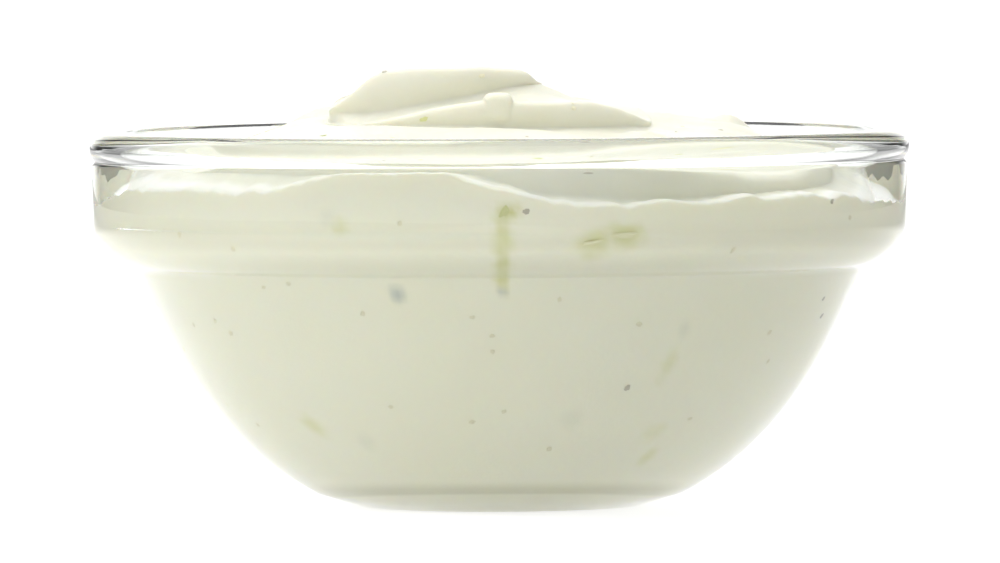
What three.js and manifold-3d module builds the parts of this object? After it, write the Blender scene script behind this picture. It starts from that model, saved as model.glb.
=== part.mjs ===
// Tzatziki dip in its small clear glass bowl.
//
// Millimetres, +Z up. The origin is the middle of the bowl's base, on the surface it stands on.
// The front, where the topmost fold shows its face, looks along -Y.
//
// bowl   clear glass: a rolled rim, a broad collar, a step in under the collar and a round body
// dip    the white dip that fills the bowl, heaped over the rim in three folds
import * as THREE from "three";
import { ParametricGeometry } from "three/addons/geometries/ParametricGeometry.js";
import { mergeVertices } from "three/addons/utils/BufferGeometryUtils.js";
import Module from "manifold-3d";

// ---------------------------------------------------------------- driving sizes of the bowl
const rimRadius = 45; // at the widest of the rolled rim
const bowlHeight = 41.2;
const rimRoll = 1.9; // radius of the roll's round section
const rollFlat = 0.4; // the roll's inner side is flatter by this much
const collarRadius = 44.6; // at the foot of the collar
const collarFlare = 0.15; // how much wider the collar is under the rim
const collarFoot = 31.0; // height where the collar's side ends
const neckRadius = 39.9; // where the collar steps in to the body
const neckHeight = 25.7;
const footRadius = 20.3; // where the body's side meets the foot's slanting underside
const footRise = 1.4; // height of that edge
const baseRadius = 15.6; // what stands on the table
const wall = 3.0; // thickness of collar and body
const floorHeight = 4.2; // top of the thick glass under the dip
const floorRadius = 17.3; // the flat part of the inside
const heelRise = 1.0; // the inside is rounded up to this height over its floor
const heelSteps = 3;
const bowlSegments = 60;
const curveSteps = 5;

// ---------------------------------------------------------------- driving sizes of the dip
const clearance = 0.3; // between the dip and the glass
const dipColumns = 68;
const lipRound = 0.35; // the dip's edge on the glass is rounded by this much
const moatDepth = 0.8; // the dip sinks a little beside the glass

// Height of the dip's edge on the glass: [degrees round from +X, height].
// It is pushed up the glass at the front left and drops again at the front.
const edgeOnGlass = [
  [0, 33.2],
  [55, 34.5],
  [100, 33.7],
  [140, 34.6],
  [184, 33.3],
  [206, 35.1],
  [228, 35.1],
  [250, 37.4],
  [262, 37.5],
  [268, 36.3],
  [275, 34.7],
  [285, 34.1],
  [312, 34.5],
];

// The heap is a low dome with three folds on it. Between its folds the surface arches and is furrowed.
const dome = {
  top: 44.0, // at its sides and back
  frontTop: 41.9,
  foot: 33.7,
  inner: 10, // it falls from this distance off the axis out to the glass
  steepening: 1.9,
};
const archOfSlope = 0.05; // rise of the surface between two folds, for each millimetre of its width
const furrowDepth = 0.45;
const furrowPitch = 9; // between two turns of the furrow that the spoon left

// The long fold lies low. It starts at the left against the glass and goes round the front with its
// side just behind the dip's edge. Its crest sinks at the front right and rises again at the right, and
// then it winds inwards and runs out in the dome at the back.
const longFold = {
  centre: [0.6, 0.4],
  halfWidth: 39.2,
  halfDepth: 39.0,
  start: 212, // degrees round from +X
  fadeIn: 0.025, // as shares of the way round
  fadeOut: [0.59, 0.85],
  sinksAt: [0.318, 0.14], // where its crest has sunk to the dome, and how far that takes on either side
  windsIn: [15, 0.24], // how far, and the share of the way round where that begins
  rise: [4.2, 2.4], // how far its crest stands over the dome, before and after it has sunk
  side: [4.6, 3.2], // how far its side falls, before and after
  firstSide: [0.72, 0.09, 0.155], // share of that at first, and where it begins and ends to grow
  overhang: 0.2,
  ripple: [0.3, 3, 20],
};
const leastFoot = 0.3; // how far the long fold's foot may lie below the dip's edge on the glass

// The middle fold and the tongue on top of it. Seen from above each is an oval.
//   crest      height of its upper edge
//   dropLeft   how far the crest falls to that end, and the share of the way to it where that starts
//   foot       height where its front side meets the fold below: [at the left end, at the right end,
//              bend of the line between them]
//   backFoot   the same along its back
//   facing     degrees round from +X where its side is tallest, leastSide the share left on the far side
//   overhang   how far its side leans out over its foot
//   ripple     [size, waves round the fold, turn in degrees] of its edge
const middleFold = {
  centre: [-1.3, -0.6],
  halfWidth: 18.0,
  halfDepth: 13.2,
  crest: 44.7,
  dropLeft: [3.6, 0],
  dropRight: [2.4, 0.64],
  foot: [42.0, 41.3, 0.5],
  backFoot: 43.5,
  facing: 290,
  leastSide: 0.3,
  overhang: 0.8,
  ripple: [0.1, 3, 100],
};
const tongue = {
  centre: [-7, -1.6],
  halfWidth: 11.7,
  halfDepth: 7.6,
  crest: 48.25,
  dropLeft: [4.8, 0.5],
  dropRight: [1.9, 0.88],
  foot: [43.0, 46.4, 1.6],
  backFoot: 44.9,
  facing: 270,
  leastSide: 0.15,
  overhang: 1.1,
  ripple: [0.12, 4, 0],
};
const edgeRound = 1.1; // the folds' upper edges are rounded over this width
const crownHollow = 0.9; // how far the top sinks behind the tongue's front edge

// Shreds of cucumber that lie just under the skin and raise it:
// [part of the way down the slope, degrees round from +X, length, degrees turned from pointing outwards]
const coveredShreds = [
  [0.28, 318, 6.5, 60],
  [0.55, 14, 5.2, 25],
  [0.35, 62, 7.0, 100],
  [0.6, 118, 5.6, 70],
  [0.3, 163, 6.2, 15],
  [0.5, 214, 5.0, 110],
];
const shredThickness = 1.9;
const shredSunk = 0.18; // how deep a shred's middle lies, as a share of its thickness
const nub = { degrees: 274, size: 3.2, flatness: 0.75, sunk: 0.5 }; // a coated bit on the middle fold's edge

// ---------------------------------------------------------------- helpers
const toRadians = THREE.MathUtils.degToRad;
const { lerp, smoothstep, euclideanModulo } = THREE.MathUtils;
const fullTurn = 2 * Math.PI;

const wasm = await Module();
wasm.setup();

function toSolid(geometry) {
  geometry.deleteAttribute("normal");
  geometry.deleteAttribute("uv");
  const merged = mergeVertices(geometry, 1e-3);
  const mesh = new wasm.Mesh({
    numProp: 3,
    vertProperties: merged.attributes.position.array,
    triVerts: new Uint32Array(merged.index.array),
  });
  return new wasm.Manifold(mesh);
}

function toGeometry(solid) {
  const mesh = solid.getMesh();
  const geometry = new THREE.BufferGeometry();
  geometry.setAttribute("position", new THREE.BufferAttribute(mesh.vertProperties, 3));
  geometry.setIndex(new THREE.BufferAttribute(mesh.triVerts, 1));
  geometry.computeVertexNormals();
  return geometry;
}

// Moves a profile sideways, to the left of its direction of travel, keeping its segments parallel.
function offsetProfile(points, distance) {
  const directions = points.slice(1).map((point, i) => point.clone().sub(points[i]).normalize());
  return points.map((point, i) => {
    const before = directions[Math.max(i - 1, 0)];
    const after = directions[Math.min(i, directions.length - 1)];
    const along = before.clone().add(after).normalize();
    const reach = distance / along.dot(after);
    return new THREE.Vector2(point.x - along.y * reach, point.y + along.x * reach);
  });
}

function curve(divisions, ...corners) {
  const points = corners.map(([x, y]) => new THREE.Vector2(x, y));
  return new THREE.CubicBezierCurve(...points).getPoints(divisions);
}

// A point on a circle round the axis.
function round(angle, radius, height) {
  return new THREE.Vector3(radius * Math.cos(angle), radius * Math.sin(angle), height);
}

// ---------------------------------------------------------------- bowl
// All profiles are [distance from the axis, height], here from the base up along the outside.
const bodyCurve = curve(
  2 * curveSteps,
  [footRadius, footRise],
  [footRadius + 13.7, footRise + 7.3],
  [neckRadius - 2.2, neckHeight - 3.3],
  [neckRadius, neckHeight],
);
const shoulderCurve = curve(
  curveSteps,
  [neckRadius + 0.2, neckHeight + 0.5],
  [neckRadius + 2.1, neckHeight + 0.7],
  [collarRadius, neckHeight + 3.0],
  [collarRadius, collarFoot],
);

// The rolled rim, from where it leaves the collar over its top and down inside.
function rollArc() {
  const centre = [rimRadius - rimRoll, bowlHeight - rimRoll];
  const inwards = rimRoll - rollFlat;
  const outer = new THREE.EllipseCurve(...centre, rimRoll, rimRoll, -0.8, Math.PI / 2);
  const inner = new THREE.EllipseCurve(...centre, inwards, rimRoll, Math.PI / 2, Math.PI);
  return [...outer.getPoints(curveSteps + 1), ...inner.getPoints(curveSteps - 1).slice(1)];
}

// The inside of the glass, from the floor up to where the collar's inner wall starts.
function insideProfile() {
  const bodyInside = offsetProfile(bodyCurve, wall).filter((point) => point.y > floorHeight + heelRise);
  const heel = curve(
    heelSteps,
    [floorRadius, floorHeight],
    [floorRadius + 1.5, floorHeight],
    [bodyInside[0].x - 0.3, bodyInside[0].y - 0.3],
    [bodyInside[0].x, bodyInside[0].y],
  );
  const innerCollar = collarRadius - wall;
  const innerNeck = bodyInside[bodyInside.length - 1];
  const ledge = curve(
    curveSteps,
    [innerNeck.x + 0.25, innerNeck.y + 0.7],
    [innerNeck.x + 0.9, innerNeck.y + 2.2],
    [innerCollar, innerNeck.y + 1.6],
    [innerCollar, collarFoot + 0.6],
  );
  return [new THREE.Vector2(0, floorHeight), ...heel, ...bodyInside.slice(1), ...ledge];
}

function bowlGeometry() {
  const base = [new THREE.Vector2(0, 0), new THREE.Vector2(baseRadius, 0)];
  const underRim = new THREE.Vector2(collarRadius + collarFlare, bowlHeight - 2 * rimRoll);
  const outside = [...base, ...bodyCurve, ...shoulderCurve, underRim];
  const inside = insideProfile().reverse();
  const geometry = new THREE.LatheGeometry([...outside, ...rollArc(), ...inside], bowlSegments);
  return geometry.rotateX(Math.PI / 2);
}

// ---------------------------------------------------------------- dip: its heights
// The dip is a stack of closed rings, from the middle of its top outwards to the glass, down the
// glass and in to the middle of the floor. Each ring is a function from an angle to a point.
function heightOnGlass(angle) {
  const degrees = euclideanModulo(THREE.MathUtils.radToDeg(angle), 360);
  const next = edgeOnGlass.findIndex(([start]) => start > degrees);
  const [startB, heightB] = next < 0 ? [360, edgeOnGlass[0][1]] : edgeOnGlass[next];
  const [startA, heightA] = edgeOnGlass[(next < 0 ? edgeOnGlass.length : next) - 1];
  return lerp(heightA, heightB, smoothstep(degrees, startA, startB));
}

function domeHeight(point) {
  const radius = Math.hypot(point.x, point.y);
  const top = lerp(dome.top, dome.frontTop, smoothstep(-point.y / radius, 0, 0.8));
  const outwards = Math.max(0, radius - dome.inner) / (collarRadius - wall - dome.inner);
  return lerp(top, dome.foot, outwards ** dome.steepening);
}

function furrowHeight(point) {
  const angle = Math.atan2(point.y, point.x);
  return furrowDepth * Math.sin(angle - (fullTurn * Math.hypot(point.x, point.y)) / furrowPitch);
}

function waveOf([size, waves, turn], angle) {
  const shift = toRadians(turn);
  return size * (Math.sin(waves * angle + shift) + 0.6 * Math.sin((waves + 2) * angle + 2.3 * shift));
}

// ---------------------------------------------------------------- dip: the folds
// A point of a fold's outline, drawn in by inset.
function onOutline(fold, angle, inset, height) {
  const out = waveOf(fold.ripple, angle) - inset;
  return new THREE.Vector3(
    fold.centre[0] + (fold.halfWidth + out) * Math.cos(angle),
    fold.centre[1] + (fold.halfDepth + out) * Math.sin(angle),
    height,
  );
}

// How far a crest has fallen at an end of its fold: reach is 0 in the middle and 1 at the end.
function endDrop(reach, [drop, start]) {
  return drop * Math.max(0, (reach - start) / (1 - start)) ** 1.5;
}

// What the side of an oval fold is at one angle: its crest, its height and its foot.
function ovalSide(fold, angle) {
  const across = Math.cos(angle);
  const towardsFacing = 0.5 + 0.5 * Math.cos(angle - toRadians(fold.facing));
  const share = lerp(fold.leastSide, 1, towardsFacing ** 0.7);
  const fullCrest = fold.crest - endDrop(-across, fold.dropLeft) - endDrop(across, fold.dropRight);
  const [leftFoot, rightFoot, bend] = fold.foot;
  const frontFoot = lerp(leftFoot, rightFoot, ((across + 1) / 2) ** bend);
  const foot = lerp(frontFoot, fold.backFoot, smoothstep(Math.sin(angle), -0.2, 0.5));
  const height = Math.max(0.25, fullCrest - foot) * share;
  return { crest: foot + height + waveOf(fold.ripple, angle), height, drawnIn: 0 };
}

// The same for the long fold, which winds inwards over the dome.
function windingSide(fold, angle) {
  const way = euclideanModulo(angle / fullTurn - fold.start / 360, 1);
  const [fades, gone] = fold.fadeOut;
  const share = smoothstep(way, 0, fold.fadeIn) * (1 - smoothstep(way, fades, gone));
  const [inmost, begins] = fold.windsIn;
  const drawnIn = inmost * smoothstep(way, begins, gone) * (1 - smoothstep(way, gone, 1));
  const plan = onOutline(fold, angle, drawnIn, 0);
  const [lowest, sinksFor] = fold.sinksAt;
  const stretch = way < lowest ? 0 : 1;
  const rise = fold.rise[stretch] * share * smoothstep(Math.abs(way - lowest), 0, sinksFor);
  const crest = domeHeight(plan) + rise;
  const [firstShare, grows, grown] = fold.firstSide;
  const fullSide = fold.side[stretch] * share * lerp(firstShare, 1, smoothstep(way, grows, grown));
  const overEdge = crest - heightOnGlass(angle) + leastFoot;
  return { crest, height: Math.max(0.1, Math.min(fullSide, overEdge)), drawnIn };
}

// The rings of one fold, from its top inwards edge over the crest and down its side to its foot.
function foldRings(fold, sideAt) {
  const undercut = (side) => fold.overhang * Math.min(1, side.height / 3);
  const roundOff = (side) => edgeRound * Math.min(1, 0.25 + side.height / 2);
  const ring = (insetOf, belowCrest) => (angle) => {
    const side = sideAt(fold, angle);
    return onOutline(fold, angle, side.drawnIn + insetOf(side), side.crest - belowCrest(side));
  };
  return [
    ring((side) => 2.4 * roundOff(side), (side) => 0.06 * side.height),
    ring((side) => roundOff(side), () => 0),
    ring((side) => 0.25 * roundOff(side), (side) => Math.min(0.35 * edgeRound, 0.2 * side.height)),
    ring(() => 0, (side) => 0.45 * side.height),
    ring((side) => 0.45 * undercut(side), (side) => 0.8 * side.height),
    ring(undercut, (side) => side.height),
  ];
}

// ---------------------------------------------------------------- dip: between and around the folds
// A ring part of the way from one ring to the next, on an arched and furrowed slope.
function slopeRing(ringA, ringB, part, arch, sunk) {
  return (angle) => {
    const pointA = ringA(angle);
    const pointB = ringB(angle);
    const width = Math.hypot(pointB.x - pointA.x, pointB.y - pointA.y);
    const middleness = 4 * part * (1 - part);
    const point = pointA.lerp(pointB, part);
    const furrow = furrowHeight(point) * smoothstep(width, 4, 12);
    const hollow = sunk * smoothstep(width, 1, 7);
    point.z += middleness * (arch * width + furrow - hollow);
    return point;
  };
}

// The top of the tongue, inside its edge.
function crownRings(edge) {
  const middle = new THREE.Vector3(...tongue.centre, tongue.crest - crownHollow);
  return [0, 0.3, 0.6].map((part) => (angle) => {
    const point = middle.clone().lerp(edge(angle), part);
    point.z = lerp(middle.z, edge(angle).z, part * part);
    return point;
  });
}

// The dip's rounded edge on the glass.
function edgeRings() {
  const radius = collarRadius - wall - clearance;
  return [
    (angle) => round(angle, radius - 2 * lipRound, heightOnGlass(angle) - 0.1 * lipRound),
    (angle) => round(angle, radius - 0.3 * lipRound, heightOnGlass(angle) - 0.4 * lipRound),
    (angle) => round(angle, radius, heightOnGlass(angle) - 1.6 * lipRound),
  ];
}

// The dip's side against the glass, down to the middle of the floor.
function wallRings() {
  const profile = offsetProfile(insideProfile(), clearance).reverse();
  profile[profile.length - 1].x = 0;
  return profile.map((point) => (angle) => round(angle, point.x, point.y));
}

const lastOf = (rings) => rings[rings.length - 1];
const longRings = foldRings(longFold, windingSide);
const middleRings = foldRings(middleFold, ovalSide);
const tongueRings = foldRings(tongue, ovalSide);
const slopeAt = (part) => slopeRing(lastOf(middleRings), longRings[0], part, archOfSlope, 0);

function dipRings() {
  const edge = edgeRings();
  const moatAt = (part) => slopeRing(lastOf(longRings), edge[0], part, archOfSlope, moatDepth);
  return [
    ...crownRings(tongueRings[0]),
    ...tongueRings,
    slopeRing(lastOf(tongueRings), middleRings[0], 0.5, 0, 0.15),
    ...middleRings,
    ...[0.16, 0.33, 0.5, 0.67, 0.84].map(slopeAt),
    ...longRings,
    ...[0.25, 0.5, 0.75].map(moatAt),
    ...edge,
    ...wallRings(),
  ];
}

// ---------------------------------------------------------------- dip: what lies under its skin
function coveredShred([part, degrees, length, turn]) {
  const angle = toRadians(degrees);
  const shred = new THREE.SphereGeometry(0.5, 10, 8);
  shred.scale(length, shredThickness, shredThickness);
  shred.rotateZ(angle + toRadians(turn));
  const place = slopeAt(part)(angle);
  shred.translate(place.x, place.y, place.z - shredSunk * shredThickness);
  return toSolid(shred);
}

function coatedNub() {
  const angle = toRadians(nub.degrees);
  const bit = new THREE.SphereGeometry(nub.size / 2, 12, 8);
  bit.scale(1, 1, nub.flatness);
  const place = middleRings[2](angle);
  bit.translate(place.x, place.y, place.z - nub.sunk);
  return toSolid(bit);
}

function dipGeometry() {
  const rings = dipRings();
  const steps = rings.length - 1;
  const ringPoint = (u, v, target) => target.copy(rings[Math.round(v * steps)]((1 - u) * fullTurn));
  const filling = toSolid(new ParametricGeometry(ringPoint, dipColumns, steps));
  const bits = [coatedNub(), ...coveredShreds.map(coveredShred)];
  return toGeometry(bits.reduce((solid, bit) => solid.add(bit), filling));
}

// ---------------------------------------------------------------- the part
const glass = new THREE.MeshStandardMaterial({
  color: 0xe6ece2,
  roughness: 0.04,
  metalness: 0,
  transparent: true,
  opacity: 0.35,
});
const creamyDip = new THREE.MeshStandardMaterial({ color: 0xf1efdc, roughness: 0.55, metalness: 0 });

function named(name, geometry, material) {
  const mesh = new THREE.Mesh(geometry, material);
  mesh.name = name;
  return mesh;
}

const part = new THREE.Group();
part.add(named("bowl", bowlGeometry(), glass));
part.add(named("dip", dipGeometry(), creamyDip));

export default part;
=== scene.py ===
"""Tzatziki dip in its small clear glass bowl: the looks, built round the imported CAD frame.

The sizes below are millimetres, as the CAD part has them, and every mesh is written in metres.
The front of the part looks along -Y, towards the camera.
"""
import math
import random

import bpy
import numpy as np
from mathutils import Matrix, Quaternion, Vector, noise
from mathutils.bvhtree import BVHTree


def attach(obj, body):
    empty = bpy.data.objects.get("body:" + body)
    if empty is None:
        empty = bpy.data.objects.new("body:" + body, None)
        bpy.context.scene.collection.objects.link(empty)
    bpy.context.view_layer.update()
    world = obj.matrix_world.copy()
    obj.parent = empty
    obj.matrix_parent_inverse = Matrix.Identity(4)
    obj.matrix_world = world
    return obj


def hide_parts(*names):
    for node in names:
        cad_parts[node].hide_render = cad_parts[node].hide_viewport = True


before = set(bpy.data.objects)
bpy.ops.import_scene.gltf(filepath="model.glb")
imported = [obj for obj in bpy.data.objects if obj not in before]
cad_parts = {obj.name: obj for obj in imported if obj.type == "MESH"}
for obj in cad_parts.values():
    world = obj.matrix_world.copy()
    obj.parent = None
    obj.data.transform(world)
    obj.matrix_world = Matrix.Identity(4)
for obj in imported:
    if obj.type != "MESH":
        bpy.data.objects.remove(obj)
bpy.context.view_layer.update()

MM = 0.001
TURN = 2 * math.pi
SEED = 31
random.seed(SEED)

# ---------------------------------------------------------------- sizes of the bowl
RIM_RADIUS = 45.0
BOWL_HEIGHT = 41.2
RIM_ROLL = 1.9
ROLL_FLAT = 0.4
ROLL_START = -0.8  # the angle, in radians, where the rolled rim leaves the collar
COLLAR_RADIUS = 44.6
COLLAR_FLARE = 0.15
COLLAR_FOOT = 31.0
NECK_RADIUS = 39.9
NECK_HEIGHT = 25.7
FOOT_RADIUS = 20.3
FOOT_RISE = 1.4
BASE_RADIUS = 15.6
WALL = 3.0
FLOOR_HEIGHT = 4.2
FLOOR_RADIUS = 17.3
HEEL_RISE = 1.0
BOWL_COLUMNS = 224
CURVE_STEPS = 14
# Where the corners of the bowl's curves lie: steps outwards and up from the point that is named last.
BODY_FROM_FOOT = (13.7, 7.3)
BODY_FROM_NECK = (-2.2, -3.3)
SHOULDER_FROM_NECK = ((0.2, 0.5), (2.1, 0.7))
SHOULDER_UP_FROM_NECK = 3.0
HEEL_OUT_FROM_FLOOR = 1.5
HEEL_DOWN_FROM_BODY = 0.4
FLOOR_IN_FROM_HEEL = 2.0
LEDGE_FROM_INNER_NECK = ((0.25, 0.7), (0.9, 2.2))
LEDGE_UP_FROM_INNER_NECK = 1.6
LEDGE_UP_FROM_COLLAR_FOOT = 0.6

# ---------------------------------------------------------------- sizes of the dip
INTO_GLASS = 0.15  # the dip reaches this far into the wall, so that no air shows between them
DIP_COLUMNS = 100
DIP_STEPS = 5
DIP_LEVELS = 2  # of subdivision
LIP_ROUND = 0.35
LIP_PROFILE = ((2, 0.1), (0.3, 0.4), (0, 1.6))  # each ring's steps in and down, times LIP_ROUND
MOAT_DEPTH = 0.8
MOAT_PARTS = (0.25, 0.5, 0.75)
EDGE_ON_GLASS = [  # degrees round from +X, height of the dip's edge on the glass
    (0, 33.2),
    (55, 34.5),
    (100, 33.7),
    (140, 34.6),
    (184, 33.3),
    (206, 35.1),
    (228, 35.1),
    (250, 37.4),
    (262, 37.5),
    (268, 36.3),
    (275, 34.7),
    (285, 34.1),
    (312, 34.5),
]
DOME = dict(
    top=44.0,
    front_top=41.9,
    front=(0, 0.8),  # how squarely a place faces the front, as a sine, where front_top begins and is full
    foot=33.7,
    inner=10.0,
    steepening=1.9,
)
ARCH_OF_SLOPE = 0.05
SLOPE_PARTS = (0.16, 0.33, 0.5, 0.67, 0.84)
FURROW_DEPTH = 0.45
FURROW_PITCH = 9.0
FURROWED_WIDTHS = (4.0, 12.0)  # widths of a slope where its furrows begin and are full
HOLLOWED_WIDTHS = (1.0, 7.0)  # the same for the hollow in it
LONG_FOLD = dict(  # its places are shares of a turn from its start
    centre=(0.6, 0.4),
    half_width=39.2,
    half_depth=39.0,
    start=212,  # in degrees round
    fade_in=0.025,
    fade_out=(0.59, 0.85),
    sinks_at=(0.318, 0.14),  # the place of its lowest crest, and how far to either side the crest sinks
    winds_in=(15.0, 0.24),  # by how much, and from which place
    rise=(4.2, 2.4),  # before and after its crest has sunk
    side=(4.6, 3.2),
    first_side=(0.72, 0.09, 0.155),  # the first share of its side, and where that grows and is grown
    overhang=0.2,
    ripple=(0.3, 3, 20),  # size, waves in a turn, and their shift in degrees
)
MIDDLE_FOLD = dict(
    centre=(-1.3, -0.6),
    half_width=18.0,
    half_depth=13.2,
    crest=44.7,
    drop_left=(3.6, 0.0),  # how far its crest falls at that end, and from which part of the way there
    drop_right=(2.4, 0.64),
    foot=(42.0, 41.3, 0.5),  # its heights on the left and the right, and how it bends between them
    back_foot=43.5,
    facing=290,
    least_side=0.3,
    overhang=0.8,
    ripple=(0.1, 3, 100),
)
TONGUE = dict(
    centre=(-7.0, -1.6),
    half_width=11.7,
    half_depth=7.6,
    crest=48.25,
    drop_left=(4.8, 0.5),
    drop_right=(1.9, 0.88),
    foot=(43.0, 46.4, 1.6),
    back_foot=44.9,
    facing=270,
    least_side=0.15,
    overhang=1.1,
    ripple=(0.12, 4, 0),
)
LEAST_FOOT = 0.3  # how far the long fold's foot may lie below the dip's edge on the glass
LEAST_OVAL_SIDE = 0.25
LEAST_LONG_SIDE = 0.1
BACK_OF_OVAL = (-0.2, 0.5)  # sines towards the back where back_foot begins and is full
FACING_BEND = 0.7  # below 1, an oval fold's side stays high further round
DROP_BEND = 1.5  # above 1, a crest falls late and steeply
# What each ripple has besides: its share, its further waves in a turn, and its shift, times the ripple's.
OVERTONE = (0.6, 2, 2.3)
EDGE_ROUND = 0.75
ROUNDING = (0.25, 2.0)  # the share of EDGE_ROUND on a flat side, and the height that adds a whole one
UNDERCUT_FROM = 3.0  # the height of side that has the whole overhang
# The rings of a fold's side: how far in, in roundings and in overhangs, how far down from the crest, in
# heights of side, and the most that may be.
FOLD_PROFILE = [
    (2.4, 0, 0.06, math.inf),
    (1, 0, 0, math.inf),
    (0.25, 0, 0.2, 0.35 * EDGE_ROUND),
    (0, 0, 0.45, math.inf),
    (0, 0.45, 0.8, math.inf),
    (0, 1, 1, math.inf),
]
CROWN_HOLLOW = 0.9
CROWN_PARTS = (0, 0.3, 0.6)
TONGUE_FOOT_HOLLOW = 0.15
COVERED_SHREDS = [  # part of the way down the slope, degrees round, length, degrees turned from outwards
    (0.28, 318, 6.5, 60),
    (0.55, 14, 5.2, 25),
    (0.35, 62, 7.0, 100),
    (0.6, 118, 5.6, 70),
    (0.3, 163, 6.2, 15),
    (0.5, 214, 5.0, 110),
]
SHRED_THICKNESS = 1.9
MOUND = dict(
    half_length=0.62,  # times the length of the shred under it
    half_width=0.75,  # times its thickness, and the height too
    height=0.4,
    bend=1.5,
    within=4.0,  # above and below the shred
)
NUB = dict(
    degrees=274,
    size=(3.3, 2.6, 3.4),
    sunk=0.55,
    set_back=0.95,
    ring=2,  # of the middle fold, that it lies on
    squareness=3.6,  # 2 makes it an ellipsoid, and more makes it boxier
    core=0.05,  # the share of its size round its middle where nothing is pushed out
    blend=0.85,  # the share of its size where it begins to go over into the fold
)
UNEVENNESS = [(0.22, 9.0), (0.12, 3.2), (0.05, 1.3)]  # height and size of the lumps of the open surface
UNEVEN_RADII = (38.5, 41.0)  # where they begin to die away towards the glass, and are gone
UNEVEN_ABOVE = 32.0
WAVER = [(0.5, 5.0), (0.3, 1.7)]  # height and size of the waves in the dip's edge on the glass
WAVER_RADII = (37.5, 41.0)  # where they begin and are full
WAVER_HEIGHTS = (31.6, 33.0)

# ---------------------------------------------------------------- what lies in the dip
LENS_COLUMNS = 14  # of the lens that each flake is stretched and made lumpy from
LENS_RADII = (0, 0.45, 0.8, 1.0)
FLAKE_THICKNESS = 0.14
FLAKE_LUMPS = (0.6, 1.8)  # how strongly and how finely a flake's outline varies
FLAKE_VARIETY = 50.0  # how far apart in the noise the flakes are taken
BITS_ON_GLASS = {  # degrees round, height, length, width, degrees turned from level
    "skin": [
        (270.7, 33.4, 1.3, 0.8, 40),
    ],
    "flesh": [
        (270.3, 28.9, 2.6, 0.5, 92),
        (283.4, 30.3, 2.2, 0.4, 8),
        (288.3, 30.9, 2.8, 0.5, 3),
    ],
    "pepper": [
        (273.8, 33.4, 0.78, 0.6, 0),
        (326.0, 33.7, 0.6, 0.48, 0),
        (342.3, 21.9, 0.72, 0.6, 30),
        (295.4, 14.7, 0.72, 0.6, 60),
        (339.5, 23.8, 0.6, 0.48, 45),
    ],
    "spice": [
        (314.2, 11.3, 0.6, 0.48, 10),
        (281.5, 8.3, 0.72, 0.6, 80),
        (205.3, 10.8, 0.6, 0.48, 0),
        (233.2, 26.1, 0.6, 0.54, 0),
        (263.9, 11.2, 0.72, 0.48, 20),
        (270.7, 12.3, 0.6, 0.48, 70),
        (215.0, 20.5, 0.72, 0.6, 10),
        (211.7, 21.8, 0.6, 0.48, 50),
        (203.4, 21.3, 0.6, 0.48, 80),
        (216.7, 30.8, 0.6, 0.48, 0),
        (227.4, 29.9, 0.6, 0.48, 40),
        (227.7, 25.7, 0.6, 0.48, 15),
        (246.0, 22.8, 0.72, 0.48, 65),
        (265.3, 22.4, 0.6, 0.48, 30),
        (268.6, 20.4, 0.6, 0.48, 0),
        (268.6, 18.7, 0.6, 0.48, 85),
        (247.1, 12.8, 0.6, 0.48, 20),
        (325.2, 20.3, 0.72, 0.48, 45),
        (330.8, 32.0, 0.6, 0.48, 5),
        (306.5, 29.7, 0.72, 0.48, 70),
        (255.5, 32.2, 0.6, 0.48, 35),
        (329.0, 17.2, 0.6, 0.48, 60),
        (294.7, 21.5, 0.72, 0.6, 15),
        (279.9, 24.3, 0.6, 0.48, 90),
    ],
}
BITS_IN_VIEW = {  # across and up in the front view, then length, width, degrees turned
    "skin": [(-8.3, 42.4, 0.9, 0.5, 20)],
    "flesh": [(17.0, 43.4, 2.2, 0.6, -30)],
    "pepper": [(-12.6, 47.6, 0.6, 0.4, 10), (9.5, 35.9, 1.1, 0.5, 0)],
    "spice": [(8.2, 43.5, 0.6, 0.5, 0), (-1.9, 47.1, 0.7, 0.5, 30)],
}
# How many bits lie at random on the rest of the glass and on top, with their least and most sizes.
SCATTERED = {
    "skin": (8, 9, (1.2, 0.7), (2.4, 1.3)),
    "flesh": (9, 12, (2.2, 0.9), (4.4, 1.3)),
    "pepper": (16, 16, (0.4, 0.35), (0.65, 0.5)),
    "spice": (30, 26, (0.4, 0.3), (0.6, 0.5)),
}
REST_OF_GLASS = ((-12, 198), (6.5, 32.5))  # degrees round and heights
TOP_REACH = 37.0  # the scattered bits on top lie within this radius
ABOVE_ALL = 80.0  # the height that bits are laid on top from
BARE_TONGUE = 1.1  # the part of the top without scattered bits, in half widths and depths of the tongue
UPRIGHT = 0.1  # a surface that slopes by less than this sine counts as level
SLOPE_STEP = 0.2  # the way over which the slope of the dip's side is measured, to either side
BIT_LOOKS = {  # name and colour
    "skin": ("cucumber_skin_flecks", (0.66, 0.68, 0.33)),
    "flesh": ("cucumber_shreds", (0.78, 0.77, 0.5)),
    "pepper": ("pepper_specks", (0.54, 0.51, 0.41)),
    "spice": ("spice_specks", (0.81, 0.785, 0.59)),
}
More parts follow.
